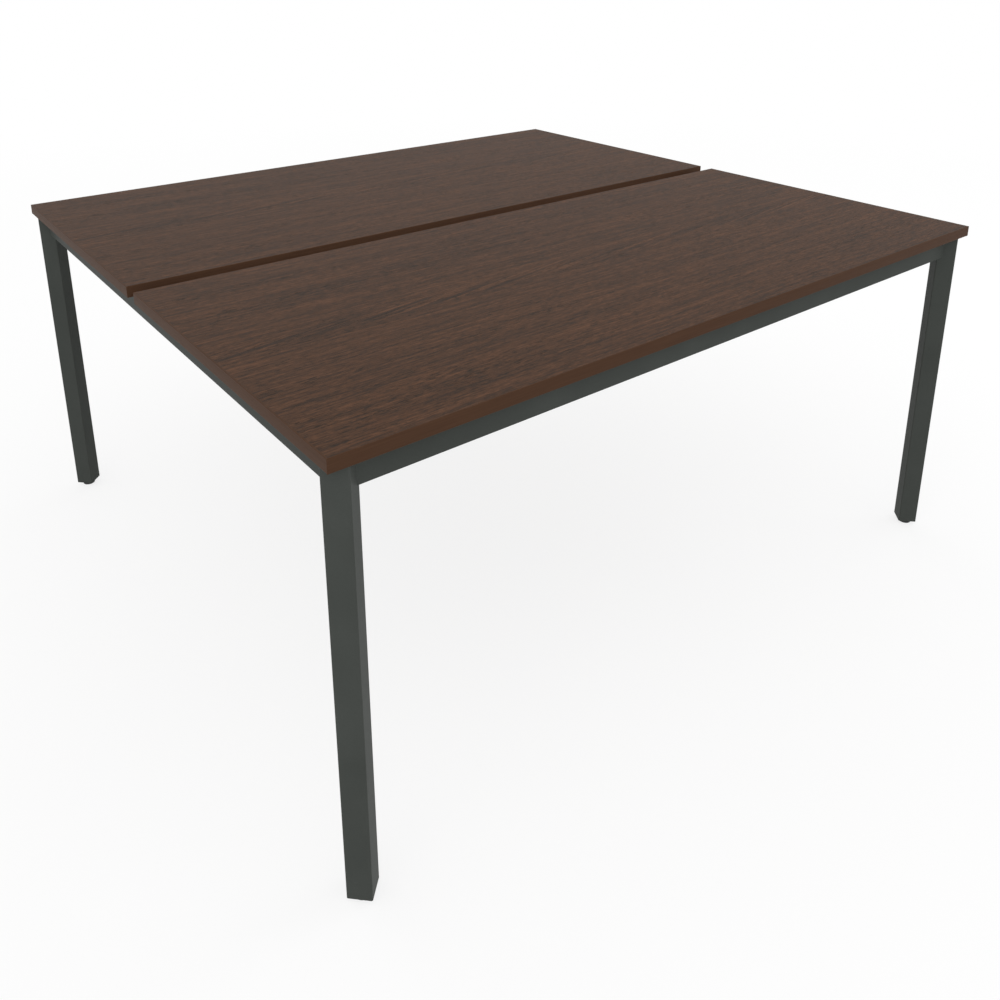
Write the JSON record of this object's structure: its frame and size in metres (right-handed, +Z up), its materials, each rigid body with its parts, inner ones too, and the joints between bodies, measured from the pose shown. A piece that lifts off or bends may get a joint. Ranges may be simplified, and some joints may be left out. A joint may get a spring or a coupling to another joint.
{
  "type": "office workstation desk",
  "caption": "Back-to-back bench desk for facing workplaces: wood decor tops with a cable gap between them, on a slim tube frame with corner legs turned forty-five degrees.",
  "frame": {"origin": "on the floor under the middle of the desk", "axes": "+X along the long edges to the right, +Y from the front top to the rear top, +Z up"},
  "size_m": [1.6, 1.494, 0.76],
  "materials": {
    "top_board": "matt melamine with dark brown wood decor, grain along the length",
    "edge_band": "matt ABS band with matching wood decor",
    "frame_paint": "fine texture powder coat in dark grey green",
    "zinc_steel": "bright zinc plate",
    "black_plastic": "moulded nylon",
    "foot_plastic": "moulded nylon"
  },
  "bodies": {
    "desk": {"front_top_board": "top_board", "front_top_outer_band": "edge_band", "front_top_gap_band": "edge_band", "front_top_left_band": "edge_band", "front_top_right_band": "edge_band", "front_top_tabs": "frame_paint", "front_top_screws": "zinc_steel", "front_inner_beam": "frame_paint", "front_left_end_plate": "frame_paint", "front_right_end_plate": "frame_paint", "rear_top_board": "top_board", "rear_top_outer_band": "edge_band", "rear_top_gap_band": "edge_band", "rear_top_left_band": "edge_band", "rear_top_right_band": "edge_band", "rear_top_tabs": "frame_paint", "rear_top_screws": "zinc_steel", "rear_inner_beam": "frame_paint", "rear_left_end_plate": "frame_paint", "rear_right_end_plate": "frame_paint", "front_beam": "frame_paint", "rear_beam": "frame_paint", "left_beam": "frame_paint", "right_beam": "frame_paint", "front_left_leg": "frame_paint", "front_left_corner_plate": "frame_paint", "front_left_leg_bolts": "zinc_steel", "front_left_plate_screws": "zinc_steel", "front_left_foot_plug": "black_plastic", "front_right_leg": "frame_paint", "front_right_corner_plate": "frame_paint", "front_right_leg_bolts": "zinc_steel", "front_right_plate_screws": "zinc_steel", "front_right_foot_plug": "black_plastic", "rear_left_leg": "frame_paint", "rear_left_corner_plate": "frame_paint", "rear_left_leg_bolts": "zinc_steel", "rear_left_plate_screws": "zinc_steel", "rear_left_foot_plug": "black_plastic", "rear_right_leg": "frame_paint", "rear_right_corner_plate": "frame_paint", "rear_right_leg_bolts": "zinc_steel", "rear_right_plate_screws": "zinc_steel", "rear_right_foot_plug": "black_plastic", "leg_nut_plates": "zinc_steel", "leg_washers": "zinc_steel", "leg_nuts": "zinc_steel", "corner_rivet_nuts": "zinc_steel", "end_plate_rivet_nuts": "zinc_steel", "end_plate_screws": "zinc_steel"},
    "front_left_pad": {"front_left_foot_pad": "foot_plastic"},
    "front_left_stud": {"front_left_foot_stud": "zinc_steel"},
    "front_right_pad": {"front_right_foot_pad": "foot_plastic"},
    "front_right_stud": {"front_right_foot_stud": "zinc_steel"},
    "rear_left_pad": {"rear_left_foot_pad": "foot_plastic"},
    "rear_left_stud": {"rear_left_foot_stud": "zinc_steel"},
    "rear_right_pad": {"rear_right_foot_pad": "foot_plastic"},
    "rear_right_stud": {"rear_right_foot_stud": "zinc_steel"}
  },
  "joints": [
    {"name": "front_left_foot_lift", "type": "slide", "parent": "desk", "child": "front_left_pad", "axis": [0, 0, -1], "range_m": [0, 0.015]},
    {"name": "front_left_foot_turn", "type": "hinge", "parent": "front_left_pad", "child": "front_left_stud", "pos_m": [-0.76752, -0.71452, 0.0055], "axis": [0, 0, -1], "range_deg": [0, 3600]},
    {"name": "front_right_foot_lift", "type": "slide", "parent": "desk", "child": "front_right_pad", "axis": [0, 0, -1], "range_m": [0, 0.015]},
    {"name": "front_right_foot_turn", "type": "hinge", "parent": "front_right_pad", "child": "front_right_stud", "pos_m": [0.76752, -0.71452, 0.0055], "axis": [0, 0, -1], "range_deg": [0, 3600]},
    {"name": "rear_left_foot_lift", "type": "slide", "parent": "desk", "child": "rear_left_pad", "axis": [0, 0, -1], "range_m": [0, 0.015]},
    {"name": "rear_left_foot_turn", "type": "hinge", "parent": "rear_left_pad", "child": "rear_left_stud", "pos_m": [-0.76752, 0.71452, 0.0055], "axis": [0, 0, -1], "range_deg": [0, 3600]},
    {"name": "rear_right_foot_lift", "type": "slide", "parent": "desk", "child": "rear_right_pad", "axis": [0, 0, -1], "range_m": [0, 0.015]},
    {"name": "rear_right_foot_turn", "type": "hinge", "parent": "rear_right_pad", "child": "rear_right_stud", "pos_m": [0.76752, 0.71452, 0.0055], "axis": [0, 0, -1], "range_deg": [0, 3600]}
  ],
  "couplings": [
    {"joint": "front_left_foot_turn", "follows": "front_left_foot_lift", "rad_per_m": 4188.8},
    {"joint": "front_right_foot_turn", "follows": "front_right_foot_lift", "rad_per_m": 4188.8},
    {"joint": "rear_left_foot_turn", "follows": "rear_left_foot_lift", "rad_per_m": 4188.8},
    {"joint": "rear_right_foot_turn", "follows": "rear_right_foot_lift", "rad_per_m": 4188.8}
  ]
}
